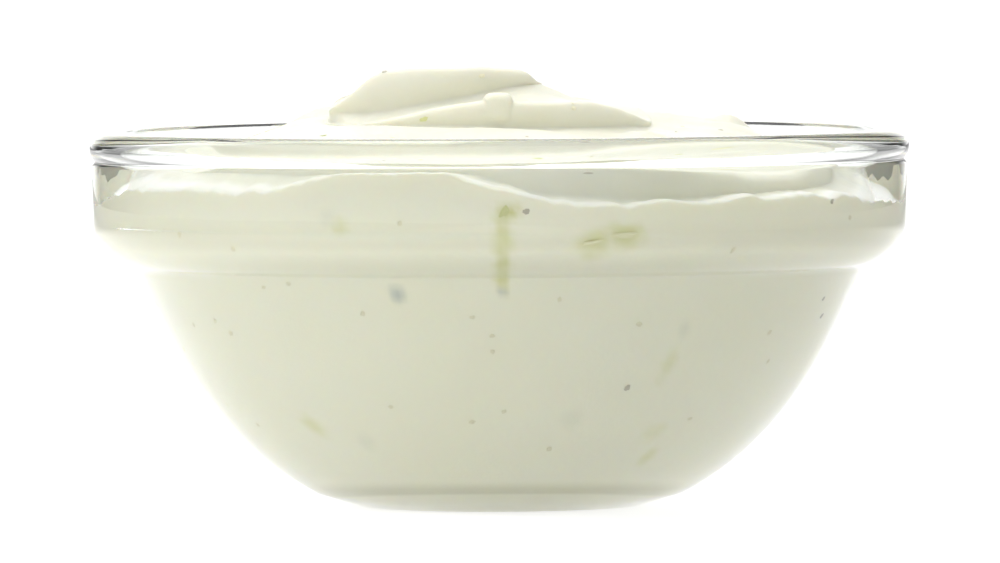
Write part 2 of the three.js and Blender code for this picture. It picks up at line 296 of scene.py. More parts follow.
# Spots where something lies just inside the cream: degrees round, height, half length, half width,
# degrees turned, strength.
SHOWS_THROUGH = {
    "greened": [
        (271.0, 33.2, 1.9, 1.4, 20, 1.0),
        (270.5, 30.8, 2.8, 1.4, 88, 0.8),
        (270.4, 27.6, 3.6, 1.3, 90, 0.8),
        (284.0, 30.4, 3.2, 1.6, 6, 0.65),
        (288.2, 30.9, 3.6, 1.8, 2, 0.72),
        (302.8, 17.1, 2.6, 1.3, 75, 0.3),
        (306.2, 10.0, 2.2, 1.3, 10, 0.25),
        (309.2, 7.4, 1.4, 1.1, 40, 0.4),
        (225.3, 10.8, 2.1, 1.4, -15, 0.45),
        (246.5, 31.6, 1.4, 1.1, 30, 0.4),
        (33.0, 27.0, 2.6, 1.1, 35, 0.6),
        (81.0, 20.0, 2.2, 1.0, 100, 0.5),
        (118.0, 31.0, 3.0, 1.1, 8, 0.6),
        (152.0, 12.0, 2.1, 1.1, -20, 0.5),
        (186.0, 22.0, 2.4, 1.0, 75, 0.5),
    ],
    "shaded": [
        (252.8, 25.0, 1.5, 1.3, 30, 1.0),
        (270.3, 25.2, 0.8, 0.8, 0, 0.7),
        (244.5, 32.7, 1.5, 1.2, 0, 0.22),
        (285.3, 11.5, 1.8, 1.6, 0, 0.16),
        (237.4, 9.1, 1.6, 1.2, 0, 0.16),
        (304.1, 20.8, 1.6, 1.1, 90, 0.22),
        (20.0, 23.0, 1.6, 1.2, 0, 0.6),
        (64.0, 14.0, 1.9, 1.4, 50, 0.4),
        (97.0, 29.0, 1.5, 1.2, 20, 0.5),
        (141.0, 18.5, 1.8, 1.2, 80, 0.6),
        (176.0, 27.0, 1.6, 1.2, 0, 0.4),
    ],
}
SPOT_REACH = 3.0  # half lengths round its middle within which a spot is looked for
SPOTS_BEYOND = 20.0  # the radius of the dip's floor, which has no spots
SPOT_LUMPS = (0.25, 0.9)  # how strongly and how finely a spot's edge varies
SPOT_FADE = (0.1, 1.0)  # parts of the way out where a spot begins to fade and is gone

# ---------------------------------------------------------------- where the dip's colours change
AT_GLASS = (40.6, 41.4)  # radii where the dip begins to lie against the glass, and fully does
BELOW_LIP = (-0.2, 0.4)  # the same as depths below the dip's edge
LOWER_SIDE = (31.0, 32.0)  # below the first height all of the dip lies against the glass
LIP_RADII = (39.4, 40.6)  # where the painted highlight along the glass, a paler lip, begins and is full
LIP_ABOVE = 32.5
LEDGE_SHADE = (24.6, 26.2, 29.8, 32.6)  # heights where the collar's shade begins, is full, fades and ends
FLOOR_RINGS_BELOW = 12.0
FLOOR_RINGS = {  # radii where a ring under the dip begins, is full, fades and ends: painted shade and a painted highlight
    # painted shade in the dip's heel, seen through the glass base
    "painted_heel_shade": (17.2, 17.8, 18.5, 20.8),
    # painted highlight under the dip, seen through the glass base
    "glint": (13.6, 14.6, 16.6, 17.4),
    # painted shade under the middle of the dip
    "painted_sole_shade": (-2.0, -1.0, 12.2, 13.8),
}

# ---------------------------------------------------------------- floor, in millimetres
FLOOR_HALF = 12000.0
FLOOR_LEVEL = -0.02

# ---------------------------------------------------------------- camera and light, in metres
CAMERA_DISTANCE = 1.427
CAMERA_HEIGHT = 0.075
CAMERA_TARGET = Vector((0, 0, 0.0245))
CAMERA_LENS = 468.0
CAMERA_ROLL = 0.28  # degrees
# Light from within the floor: middle, where it starts to fall off round that and is gone, and strength.
# A strength below 0 takes light away.
GLOWS = [
    ((0.0, 0.0, 0.0), 0.13, 0.5, 0.42),
    ((-0.13, -0.1, 0.0), 0.03, 0.25, 0.2),
    ((0.13, -0.05, 0.0), 0.04, 0.25, -0.44),
    ((0.035, 0.005, 0.0), 0.012, 0.042, 0.15),
    ((-0.01, -0.03, 0.0), 0.02, 0.07, -0.09),
    ((0.0, -0.004, 0.0), 0.01, 0.018, -0.14),
    ((-0.004, -0.006, 0.0), 0.002, 0.01, 0.2),
]
GLOW_BEHIND = (0.07, 0.3, 0.62)  # the same to either side of the view behind the bowl
GLOW_WIDENS = 0.045
SKY_BASE = 0.15
SKY_LOBES = [  # direction, where it starts (as a cosine), strength
    ((-0.1, 0.1, 0.98), 0.4, 1.82),
    ((0.0, 1.0, 0.08), 0.9, 1.6),
    ((-0.85, -0.65, 0.25), 0.0, 0.86),
    ((0.8, -0.25, 0.62), 0.3, 0.5),
]


# ---------------------------------------------------------------- small helpers
def lerp(a, b, part):
    return a + (b - a) * part


def smoothstep(value, start, end):
    part = np.clip((value - start) / (end - start), 0.0, 1.0)
    return part * part * (3 - 2 * part)


def curve(steps, *corners):
    """Points of a cubic Bezier curve."""
    t = np.linspace(0, 1, steps + 1)[:, None]
    a, b, c, d = (np.array(corner, float) for corner in corners)
    return (1 - t) ** 3 * a + 3 * (1 - t) ** 2 * t * b + 3 * (1 - t) * t**2 * c + t**3 * d


def arc(steps, centre, width, height, start, end):
    angle = np.linspace(start, end, steps + 1)
    return np.stack([centre[0] + width * np.cos(angle), centre[1] + height * np.sin(angle)], 1)


def offset_profile(points, distance):
    """Moves a profile sideways, to the left of its direction of travel, keeping its segments parallel."""
    steps = np.diff(points, axis=0)
    steps /= np.linalg.norm(steps, axis=1)[:, None]
    before = np.vstack([steps[:1], steps])
    after = np.vstack([steps, steps[-1:]])
    along = before + after
    along /= np.linalg.norm(along, axis=1)[:, None]
    reach = distance / np.sum(along * after, axis=1)
    return points + np.stack([-along[:, 1], along[:, 0]], 1) * reach[:, None]


def ring_at(angle, radius, height):
    return np.stack([radius * np.cos(angle), radius * np.sin(angle), height + 0 * angle], 1)


def new_object(name, vertices_mm, faces, material):
    """A smooth mesh object from vertices in millimetres."""
    mesh = bpy.data.meshes.new(name)
    mesh.from_pydata((np.asarray(vertices_mm, float) * MM).tolist(), [], faces)
    mesh.validate()
    mesh.update()
    mesh.shade_smooth()
    mesh.materials.append(material)
    piece = bpy.data.objects.new(name, mesh)
    bpy.context.scene.collection.objects.link(piece)
    return piece


def closed_stack(rings, columns):
    """Vertices and faces of a closed body from rings; the first and the last become single points."""
    angle = np.arange(columns) * TURN / columns
    rows = [ring(angle) for ring in rings]
    top = rows[0].mean(axis=0, keepdims=True)
    bottom = rows[-1].mean(axis=0, keepdims=True)
    vertices = np.vstack([top, *rows[1:-1], bottom])
    last = len(vertices) - 1
    n_rows = len(rows) - 2
    faces = []
    for j in range(columns):
        k = (j + 1) % columns
        faces.append((0, 1 + j, 1 + k))
        for i in range(n_rows - 1):
            upper = 1 + i * columns
            lower = upper + columns
            faces.append((upper + j, lower + j, lower + k, upper + k))
        bottom_row = 1 + (n_rows - 1) * columns
        faces.append((bottom_row + j, last, bottom_row + k))
    return vertices, faces


# ---------------------------------------------------------------- the bowl's profile
def body_curve(steps):
    foot = np.array([FOOT_RADIUS, FOOT_RISE])
    neck = np.array([NECK_RADIUS, NECK_HEIGHT])
    return curve(2 * steps, foot, foot + BODY_FROM_FOOT, neck + BODY_FROM_NECK, neck)


def shoulder_curve(steps):
    neck = np.array([NECK_RADIUS, NECK_HEIGHT])
    return curve(
        steps,
        neck + SHOULDER_FROM_NECK[0],
        neck + SHOULDER_FROM_NECK[1],
        (COLLAR_RADIUS, NECK_HEIGHT + SHOULDER_UP_FROM_NECK),
        (COLLAR_RADIUS, COLLAR_FOOT),
    )


def inside_profile(steps):
    """The inside of the glass, from the floor up to where the collar's inner wall starts."""
    body = offset_profile(body_curve(steps), WALL)
    body = body[body[:, 1] > FLOOR_HEIGHT + HEEL_RISE]
    upwards = body[1] - body[0]
    heel = curve(
        steps,
        (FLOOR_RADIUS, FLOOR_HEIGHT),
        (FLOOR_RADIUS + HEEL_OUT_FROM_FLOOR, FLOOR_HEIGHT),
        body[0] - HEEL_DOWN_FROM_BODY * upwards / np.linalg.norm(upwards),
        body[0],
    )
    neck = body[-1]
    collar = COLLAR_RADIUS - WALL
    ledge = curve(
        steps,
        neck + LEDGE_FROM_INNER_NECK[0],
        neck + LEDGE_FROM_INNER_NECK[1],
        (collar, neck[1] + LEDGE_UP_FROM_INNER_NECK),
        (collar, COLLAR_FOOT + LEDGE_UP_FROM_COLLAR_FOOT),
    )
    floor = [(0, FLOOR_HEIGHT), (FLOOR_RADIUS - FLOOR_IN_FROM_HEEL, FLOOR_HEIGHT)]
    return np.vstack([floor, heel, body[1:], ledge])


def rim_profile():
    """The rolled rim, from where it leaves the collar over its top and down inside."""
    centre = (RIM_RADIUS - RIM_ROLL, BOWL_HEIGHT - RIM_ROLL)
    outer = arc(CURVE_STEPS, centre, RIM_ROLL, RIM_ROLL, ROLL_START, math.pi / 2)
    inner = arc(CURVE_STEPS, centre, RIM_ROLL - ROLL_FLAT, RIM_ROLL, math.pi / 2, math.pi)
    return np.vstack([outer, inner[1:]])


def build_bowl(material):
    under_rim = (COLLAR_RADIUS + COLLAR_FLARE, BOWL_HEIGHT - 2 * RIM_ROLL)
    side = [body_curve(CURVE_STEPS), shoulder_curve(CURVE_STEPS)]
    outside = np.vstack([(0, 0), (BASE_RADIUS, 0), *side, under_rim])
    profile = np.vstack([outside, rim_profile(), inside_profile(CURVE_STEPS)[::-1]])[::-1]
    rings = [lambda angle, p=p: ring_at(angle, p[0], p[1]) for p in profile]
    vertices, faces = closed_stack(rings, BOWL_COLUMNS)
    return new_object("glass_bowl", vertices, faces, material)


# ---------------------------------------------------------------- the dip's heights and folds
def height_on_glass(angle):
    """The height of the dip's edge on the glass."""
    degrees = np.mod(np.degrees(angle), 360)
    starts = [start for start, _ in EDGE_ON_GLASS] + [360]
    heights = [height for _, height in EDGE_ON_GLASS] + [EDGE_ON_GLASS[0][1]]
    result = np.zeros_like(degrees)
    for i in range(len(EDGE_ON_GLASS)):
        here = (degrees >= starts[i]) & (degrees <= starts[i + 1])
        step = smoothstep(degrees[here], starts[i], starts[i + 1])
        result[here] = lerp(heights[i], heights[i + 1], step)
    return result


def dome_height(points):
    """The height of the dome under the folds."""
    radius = np.hypot(points[:, 0], points[:, 1])
    top = lerp(DOME["top"], DOME["front_top"], smoothstep(-points[:, 1] / radius, *DOME["front"]))
    outwards = np.maximum(0, radius - DOME["inner"]) / (COLLAR_RADIUS - WALL - DOME["inner"])
    return lerp(top, DOME["foot"], outwards ** DOME["steepening"])


def furrow_height(points):
    """A furrow that winds outwards, above and below the dome."""
    angle = np.arctan2(points[:, 1], points[:, 0])
    return FURROW_DEPTH * np.sin(angle - TURN * np.hypot(points[:, 0], points[:, 1]) / FURROW_PITCH)


def wave_of(ripple, angle):
    """How far a ripple swings out at an angle."""
    size, waves, turn = ripple
    share, further_waves, shifted = OVERTONE
    shift = math.radians(turn)
    overtone = share * np.sin((waves + further_waves) * angle + shifted * shift)
    return size * (np.sin(waves * angle + shift) + overtone)


def on_outline(fold, angle, inset, height):
    """Points of a fold's outline, drawn in by inset."""
    out = wave_of(fold["ripple"], angle) - inset
    x = fold["centre"][0] + (fold["half_width"] + out) * np.cos(angle)
    y = fold["centre"][1] + (fold["half_depth"] + out) * np.sin(angle)
    return np.stack([x, y, height + 0 * angle], 1)


def end_drop(reach, drop, start):
    """How far a crest has fallen, where reach is 0 in the middle of its fold and 1 at its end."""
    return drop * np.maximum(0, (reach - start) / (1 - start)) ** DROP_BEND


def oval_side(fold, angle):
    """The crest and the height of an oval fold's side, and how far it is drawn in."""
    across = np.cos(angle)
    towards_facing = 0.5 + 0.5 * np.cos(angle - math.radians(fold["facing"]))
    share = lerp(fold["least_side"], 1, towards_facing**FACING_BEND)
    left_drop = end_drop(-across, *fold["drop_left"])
    right_drop = end_drop(across, *fold["drop_right"])
    full_crest = fold["crest"] - left_drop - right_drop
    left_foot, right_foot, bend = fold["foot"]
    front_foot = lerp(left_foot, right_foot, ((across + 1) / 2) ** bend)
    foot = lerp(front_foot, fold["back_foot"], smoothstep(np.sin(angle), *BACK_OF_OVAL))
    height = np.maximum(LEAST_OVAL_SIDE, full_crest - foot) * share
    return foot + height + wave_of(fold["ripple"], angle), height, 0 * angle


def winding_side(fold, angle):
    """The same for the long fold, which winds inwards over the dome."""
    way = np.mod(angle / TURN - fold["start"] / 360, 1)
    fades, gone = fold["fade_out"]
    share = smoothstep(way, 0, fold["fade_in"]) * (1 - smoothstep(way, fades, gone))
    most, begins = fold["winds_in"]
    drawn_in = most * smoothstep(way, begins, gone) * (1 - smoothstep(way, gone, 1))
    lowest, sinks_for = fold["sinks_at"]
    full_rise, full_side = (np.where(way < lowest, *fold[name]) for name in ("rise", "side"))
    rise = full_rise * share * smoothstep(np.abs(way - lowest), 0, sinks_for)
    crest = dome_height(on_outline(fold, angle, drawn_in, 0)) + rise
    first_share, grows, grown = fold["first_side"]
    side = full_side * share * lerp(first_share, 1, smoothstep(way, grows, grown))
    over_edge = crest - height_on_glass(angle) + LEAST_FOOT
    return crest, np.maximum(LEAST_LONG_SIDE, np.minimum(side, over_edge)), drawn_in


def fold_rings(fold, side_at):
    """The rings of one fold, from its top inwards edge over the crest and down its side to its foot."""
    least_rounding, rounding_height = ROUNDING

    def ring(roundings, undercuts, down, most_down):
        def at(angle):
            crest, height, drawn_in = side_at(fold, angle)
            undercut = fold["overhang"] * np.minimum(1, height / UNDERCUT_FROM)
            rounding = EDGE_ROUND * np.minimum(1, least_rounding + height / rounding_height)
            inset = drawn_in + (roundings * rounding + undercuts * undercut)
            return on_outline(fold, angle, inset, crest - np.minimum(most_down, down * height))

        return at

    return [ring(*steps) for steps in FOLD_PROFILE]


def slope_ring(ring_a, ring_b, part, arch, sunk):
    """A ring part of the way from one ring to the next, on an arched and furrowed slope."""

    def at(angle):
        a, b = ring_a(angle), ring_b(angle)
        width = np.hypot(b[:, 0] - a[:, 0], b[:, 1] - a[:, 1])
        points = lerp(a, b, part)
        furrow = furrow_height(points) * smoothstep(width, *FURROWED_WIDTHS)
        hollow = sunk * smoothstep(width, *HOLLOWED_WIDTHS)
        middleness = 4 * part * (1 - part)
        points[:, 2] += middleness * (arch * width + furrow - hollow)
        return points

    return at


def crown_rings(edge):
    """The top of the tongue, inside its edge."""
    middle = np.array([*TONGUE["centre"], TONGUE["crest"] - CROWN_HOLLOW])

    def crown(part):
        def at(angle):
            rim = edge(angle)
            points = lerp(middle[None, :], rim, part)
            points[:, 2] = lerp(middle[2], rim[:, 2], part * part)
            return points

        return at

    return [crown(part) for part in CROWN_PARTS]


def edge_rings():
    """The dip's rounded edge on the glass."""
    radius = COLLAR_RADIUS - WALL + INTO_GLASS

    def ring(inwards, down):
        return lambda angle: ring_at(
            angle, radius - inwards * LIP_ROUND, height_on_glass(angle) - down * LIP_ROUND
        )

    return [ring(*steps) for steps in LIP_PROFILE]


def wall_rings():
    """The dip's side against the glass, down to the middle of the floor."""
    profile = offset_profile(inside_profile(DIP_STEPS), -INTO_GLASS)[::-1]
    return [lambda angle, p=p: ring_at(angle, p[0], p[1]) for p in profile]


LONG_RINGS = fold_rings(LONG_FOLD, winding_side)
MIDDLE_RINGS = fold_rings(MIDDLE_FOLD, oval_side)
TONGUE_RINGS = fold_rings(TONGUE, oval_side)


def slope_at(part):
    """A ring part of the way from the middle fold to the long one."""
    return slope_ring(MIDDLE_RINGS[-1], LONG_RINGS[0], part, ARCH_OF_SLOPE, 0)


def dip_rings():
    edge = edge_rings()
    return [
        *crown_rings(TONGUE_RINGS[0]),
        *TONGUE_RINGS,
        slope_ring(TONGUE_RINGS[-1], MIDDLE_RINGS[0], part=0.5, arch=0, sunk=TONGUE_FOOT_HOLLOW),
        *MIDDLE_RINGS,
        *[slope_at(part) for part in SLOPE_PARTS],
        *LONG_RINGS,
        *[slope_ring(LONG_RINGS[-1], edge[0], part, ARCH_OF_SLOPE, MOAT_DEPTH) for part in MOAT_PARTS],
        *edge,
        *wall_rings(),
    ]


# ---------------------------------------------------------------- materials
# Colours of the cream, at places along the values of a noise. The covered cream is a paler copy of the
# open one: painted light where the glass covers the dip.
OPEN_CREAM = [(0.3, (0.74, 0.735, 0.605)), (0.55, (0.765, 0.76, 0.645)), (0.8, (0.785, 0.78, 0.68))]
COVERED_CREAM_PAINTED_PALER = [(0.3, (0.93, 0.92, 0.74)), (0.55, (0.945, 0.935, 0.765)), (0.8, (0.955, 0.945, 0.79))]
TINTS = {
    # lip: painted highlight along the dip's edge on the glass
    "lip": (0.94, 0.935, 0.87),
    # ledge: painted shade under the collar
    "ledge": (0.83, 0.82, 0.665),
    "greened": (0.68, 0.69, 0.29),
    "shaded": (0.56, 0.6, 0.54),
    # painted shade in the dip's heel
    "painted_heel_shade": (0.74, 0.73, 0.57),
    # painted highlight under the dip
    "glint": (0.97, 0.955, 0.77),
    # painted shade under the middle of the dip
    "painted_sole_shade": (0.78, 0.77, 0.57),
}


def new_material(name, **sockets):
    material = bpy.data.materials.new(name)
    material.use_nodes = True
    shader = material.node_tree.nodes["Principled BSDF"]
    for socket, value in sockets.items():
        shader.inputs[socket.replace("_", " ")].default_value = value
    return material, material.node_tree, shader


def noise_node(tree, scale, detail):
    coordinates = tree.nodes.new("ShaderNodeTexCoord")
    texture = tree.nodes.new("ShaderNodeTexNoise")
    texture.inputs["Scale"].default_value = scale
    texture.inputs["Detail"].default_value = detail
    tree.links.new(coordinates.outputs["Object"], texture.inputs["Vector"])
    return texture


def colour_ramp(tree, source, stops):
    ramp = tree.nodes.new("ShaderNodeValToRGB")
    elements = ramp.color_ramp.elements
    for element, (position, colour) in zip(elements, (stops[0], stops[-1])):
        element.position = position
        element.color = (*colour, 1)
    for position, colour in stops[1:-1]:
        element = elements.new(position)
        element.color = (*colour, 1)
    tree.links.new(source, ramp.inputs["Fac"])
    return ramp


def attribute_node(tree, name):
    node = tree.nodes.new("ShaderNodeAttribute")
    node.attribute_name = name
    return node.outputs["Fac"]


def mixed(tree, part, first, second):
    """A colour that goes from the first to the second as part goes from 0 to 1."""
    mix = tree.nodes.new("ShaderNodeMix")
    mix.data_type = "RGBA"
    ends = [socket for socket in mix.inputs if socket.type == "RGBA"]
    tree.links.new(part, mix.inputs["Factor"])
    for socket, value in zip(ends, (first, second)):
        if isinstance(value, tuple):
            socket.default_value = (*value, 1)
        else:
            tree.links.new(value, socket)
    return next(socket for socket in mix.outputs if socket.type == "RGBA")


def add_bump(tree, shader, source, strength, distance):
    bump = tree.nodes.new("ShaderNodeBump")
    bump.inputs["Strength"].default_value = strength
    bump.inputs["Distance"].default_value = distance
    tree.links.new(source, bump.inputs["Height"])
    tree.links.new(bump.outputs["Normal"], shader.inputs["Normal"])


def glass_material():
    material, tree, shader = new_material(
        "clear_glass",
        Base_Color=(0.955, 0.972, 0.955, 1),
        Roughness=0.0,
        IOR=1.5,
        Transmission_Weight=1.0,
    )
    waves = noise_node(tree, scale=60.0, detail=1.0)
    add_bump(tree, shader, waves.outputs["Fac"], strength=0.25, distance=0.0004)
    return material


def cream_material():
    """The dip is painted paler where the glass covers it, as painted light, and each tint, painted shade
    and highlight among them, shows where its attribute says.
    """
    material, tree, shader = new_material(
        "creamy_dip",
        Roughness=0.33,
        IOR=1.42,
        Subsurface_Weight=0.5,
        Subsurface_Scale=0.0012,
    )
    shader.inputs["Subsurface Radius"].default_value = (1.0, 0.8, 0.5)
    clouds = noise_node(tree, scale=45.0, detail=4.0)
    open_cream = colour_ramp(tree, clouds.outputs["Fac"], OPEN_CREAM)
    covered_cream_painted_paler = colour_ramp(tree, clouds.outputs["Fac"], COVERED_CREAM_PAINTED_PALER)
    # where the glass covers the dip, the cream is painted paler, as painted light
    covered = attribute_node(tree, "behind_glass")
    cream = mixed(tree, covered, open_cream.outputs["Color"], covered_cream_painted_paler.outputs["Color"])
    for name, tint in TINTS.items():
        cream = mixed(tree, attribute_node(tree, name), cream, tint)
    tree.links.new(cream, shader.inputs["Base Color"])
    grain = noise_node(tree, scale=1400.0, detail=3.0)
    add_bump(tree, shader, grain.outputs["Fac"], strength=0.35, distance=0.00012)
    return material


# ---------------------------------------------------------------- the dip
def subdivided(piece, levels):
    """Replaces a piece's mesh by its subdivision surface."""
    modifier = piece.modifiers.new("round", "SUBSURF")
    modifier.levels = levels
    modifier.render_levels = levels
    depsgraph = bpy.context.evaluated_depsgraph_get()
    mesh = bpy.data.meshes.new_from_object(piece.evaluated_get(depsgraph))
    piece.modifiers.clear()
    piece.data = mesh
    mesh.shade_smooth()
    return piece


def vertex_vectors(mesh, name):
    flat = np.empty(3 * len(mesh.vertices))
    mesh.vertices.foreach_get(name, flat)
    return flat.reshape(-1, 3)


def mesh_points(mesh):
    """A mesh's vertices, in millimetres."""
    return vertex_vectors(mesh, "co") / MM


def move_points(mesh, points):
    mesh.vertices.foreach_set("co", (points * MM).ravel())
    mesh.update()


def behind_glass(points):
    """1 where the dip lies against the glass and 0 where it is open to the air."""
    angle = np.arctan2(points[:, 1], points[:, 0])
    outwards = smoothstep(np.hypot(points[:, 0], points[:, 1]), *AT_GLASS)
    below_lip = smoothstep(height_on_glass(angle) - points[:, 2], *BELOW_LIP)
    lower_side = 1 - smoothstep(points[:, 2], *LOWER_SIDE)
    return np.maximum(outwards * below_lip, lower_side)


def uneven(points, normals):
    """Soft lumps of several sizes on the open surface, which die away towards the glass."""
    freedom = 1 - smoothstep(np.hypot(points[:, 0], points[:, 1]), *UNEVEN_RADII)
    moved = points.copy()
    for index in np.flatnonzero((freedom > 0) & (points[:, 2] > UNEVEN_ABOVE)):
        place = Vector(points[index])
        lumps = sum(height * noise.noise(place / size) for height, size in UNEVENNESS)
        moved[index] += freedom[index] * lumps * normals[index]
    return moved


def waver_edge(points):
    """Makes the dip's edge on the glass rise and fall a little along its way."""
    radius = np.hypot(points[:, 0], points[:, 1])
    share = smoothstep(radius, *WAVER_RADII) * smoothstep(points[:, 2], *WAVER_HEIGHTS)
    for index in np.flatnonzero(share > 0):
        around = Vector(points[index] / radius[index] * COLLAR_RADIUS).xy.to_3d()
        waves = sum(height * noise.noise(around / size) for height, size in WAVER)
        points[index, 2] += share[index] * waves


def raise_over(points, middle, along, half_length, half_width, height):
    """Raises the surface in a smooth mound over a bit that lies just under it."""
    offset = points - middle
    lengthwise = offset[:, :2] @ along
    crosswise = offset[:, :2] @ np.array([-along[1], along[0]])
    reach = (lengthwise / half_length) ** 2 + (crosswise / half_width) ** 2
    near = np.abs(offset[:, 2]) < MOUND["within"]
    points[:, 2] += height * np.where(near, np.maximum(0, 1 - reach), 0) ** MOUND["bend"]


def raise_covered_shreds(points):
    for part, degrees, length, turn in COVERED_SHREDS:
        middle = slope_at(part)(np.array([math.radians(degrees)]))[0]
        turned = math.radians(degrees + turn)
        along = np.array([math.cos(turned), math.sin(turned)])
        half_length = MOUND["half_length"] * length
        half_width, height = (MOUND[name] * SHRED_THICKNESS for name in ("half_width", "height"))
        raise_over(points, middle, along, half_length, half_width, height)


def swell_nub(points):
    """Pushes the middle fold's edge out over the coated bit."""
    turned = math.radians(NUB["degrees"])
    inwards = -NUB["set_back"] * np.array([math.cos(turned), math.sin(turned), 0])
    middle = MIDDLE_RINGS[NUB["ring"]](np.array([turned]))[0] + inwards - (0, 0, NUB["sunk"])
    shape = np.array(NUB["size"]) / 2
    offset = (points - middle) / shape
    distance = np.sum(np.abs(offset) ** NUB["squareness"], axis=1) ** (1 / NUB["squareness"])
    near = (distance < 1) & (distance > NUB["core"])
    swelling = 1 - smoothstep(distance[near], NUB["blend"], 1)
    on_bit = middle + offset[near] / distance[near][:, None] * shape
    points[near] = lerp(points[near], on_bit, swelling[:, None])


def give_relief(dip):
    points = uneven(mesh_points(dip.data), vertex_vectors(dip.data, "normal"))
    waver_edge(points)
    raise_covered_shreds(points)
    swell_nub(points)
    move_points(dip.data, points)


def shows_through(points, spots):
    """1 in the middle of each spot on the dip's side, and falling to 0 round it with an uneven edge."""
    angle = np.degrees(np.arctan2(points[:, 1], points[:, 0]))
    radius = np.hypot(points[:, 0], points[:, 1])
    lump_size, fineness = SPOT_LUMPS
    result = np.zeros(len(points))
    for degrees, height, half_length, half_width, turned, strength in spots:
        aside = np.radians(np.mod(angle - degrees + 180, 360) - 180) * radius
        upwards = points[:, 2] - height
        in_reach = np.hypot(aside, upwards) < SPOT_REACH * half_length
        near = np.flatnonzero(in_reach & (radius > SPOTS_BEYOND))
        turn = math.radians(turned)
        lengthwise = aside[near] * math.cos(turn) + upwards[near] * math.sin(turn)
        crosswise = upwards[near] * math.cos(turn) - aside[near] * math.sin(turn)
        lumps = np.array([lump_size * noise.noise(Vector(points[index]) * fineness) for index in near])
        distance = np.hypot(lengthwise / half_length, crosswise / half_width) + lumps
        result[near] = np.maximum(result[near], strength * (1 - smoothstep(distance, *SPOT_FADE)))
    return result


def between(value, begins, full, fades, ends):
    """1 from full to fades, and 0 before begins and after ends."""
    return smoothstep(value, begins, full) * (1 - smoothstep(value, fades, ends))


def mark(dip, name, values):
    """Writes a value for each vertex, which the dip's material reads by its name."""
    attribute = dip.data.attributes.new(name, "FLOAT", "POINT")
    attribute.data.foreach_set("value", values)


def build_dip(material):
    vertices, faces = closed_stack(dip_rings(), DIP_COLUMNS)
    dip = subdivided(new_object("tzatziki", vertices, faces, material), DIP_LEVELS)
    points = mesh_points(dip.data)
    radius = np.hypot(points[:, 0], points[:, 1])
    height = points[:, 2]
    covered = behind_glass(points)
    # the cream is painted paler, as painted light, where this is 1
    mark(dip, "behind_glass", covered)
    # painted highlight: a paler lip on the open cream along the glass
    mark(dip, "lip", smoothstep(radius, *LIP_RADII) * (height > LIP_ABOVE) * (1 - covered))
    # painted shade on the cream under the collar
    mark(dip, "ledge", between(height, *LEDGE_SHADE) * smoothstep(radius, *AT_GLASS))
    for name, spots in SHOWS_THROUGH.items():
        mark(dip, name, shows_through(points, spots))
    # painted shade and a painted highlight under the dip, seen through the glass base
    for name, radii in FLOOR_RINGS.items():
        mark(dip, name, between(radius, *radii) * (height < FLOOR_RINGS_BELOW))
    give_relief(dip)
    return dip


# ---------------------------------------------------------------- the bits
def lens_rings():
    """A lens of radius 1, with a sharp edge."""
    upper = [(radius, 1 - radius**2) for radius in LENS_RADII]
    lower = [(radius, -height) for radius, height in upper[-2::-1]]
    return [lambda angle, r=radius, h=height: ring_at(angle, r, h) for radius, height in upper + lower]


LENS_POINTS, LENS_FACES = closed_stack(lens_rings(), LENS_COLUMNS)


def flake(length, width, degrees):
    """Points of a lumpy flake round the origin, which lies flat and is turned in its plane."""
    shift = Vector((random.random(), random.random(), random.random())) * FLAKE_VARIETY
    lump_size, fineness = FLAKE_LUMPS
    lumps = [1 + lump_size * noise.noise(fineness * Vector(point) + shift) for point in LENS_POINTS]
    points = LENS_POINTS * np.array(lumps)[:, None] * (length / 2, width / 2, FLAKE_THICKNESS / 2)
    turn = math.radians(degrees)
    along = points[:, 0] * math.cos(turn) - points[:, 1] * math.sin(turn)
    across = points[:, 0] * math.sin(turn) + points[:, 1] * math.cos(turn)
    return np.stack([along, across, points[:, 2]], 1)


def dip_side():
    """The dip's side against the glass, carried straight on to the rim, and the way up along it."""
    side = offset_profile(inside_profile(CURVE_STEPS), -INTO_GLASS)[2:]
    side = np.vstack([side, (side[-1, 0], BOWL_HEIGHT)])
    lengths = np.linalg.norm(np.diff(side, axis=0), axis=1)
    return side, np.concatenate([[0], np.cumsum(lengths)])


SIDE, SIDE_WAY = dip_side()


def side_point(way):
    return np.array([np.interp(way, SIDE_WAY, SIDE[:, i]) for i in (0, 1)])


def on_glass(points, degrees, height):
    """Bends a flake onto the dip's side at an angle and a height, half sunk into it."""
    along, across, out = points.T
    way = np.interp(height, SIDE[:, 1], SIDE_WAY) + across
    side_radius, side_height = side_point(way)
    ahead = side_point(way + SLOPE_STEP) - side_point(way - SLOPE_STEP)
    length = np.hypot(*ahead)
    radius = side_radius + out * ahead[1] / length
    angle = math.radians(degrees) + along / side_radius
    return ring_at(angle, radius, side_height - out * ahead[0] / length)


def on_surface(points, tree, start, direction):
    """Lays a flake on the dip where a ray meets it, half sunk into it; None where the ray misses."""
    place, normal, _, _ = tree.ray_cast(start * MM, direction)
    if place is None:
        return None
    level = Vector((0, 0, 1)).cross(normal)
    along = (level if level.length > UPRIGHT else Vector((1, 0, 0))).normalized()
    axes = np.array([along, normal.cross(along), normal])
    return np.array(place) / MM + points @ axes


def in_front_view(points, tree, across, up):
    """Lays a flake on the dip where the camera sees it at a place in the plane through the axis."""
    eye = Vector((0, -CAMERA_DISTANCE, CAMERA_HEIGHT)) / MM
    return on_surface(points, tree, eye, (Vector((across, 0, up)) - eye).normalized())


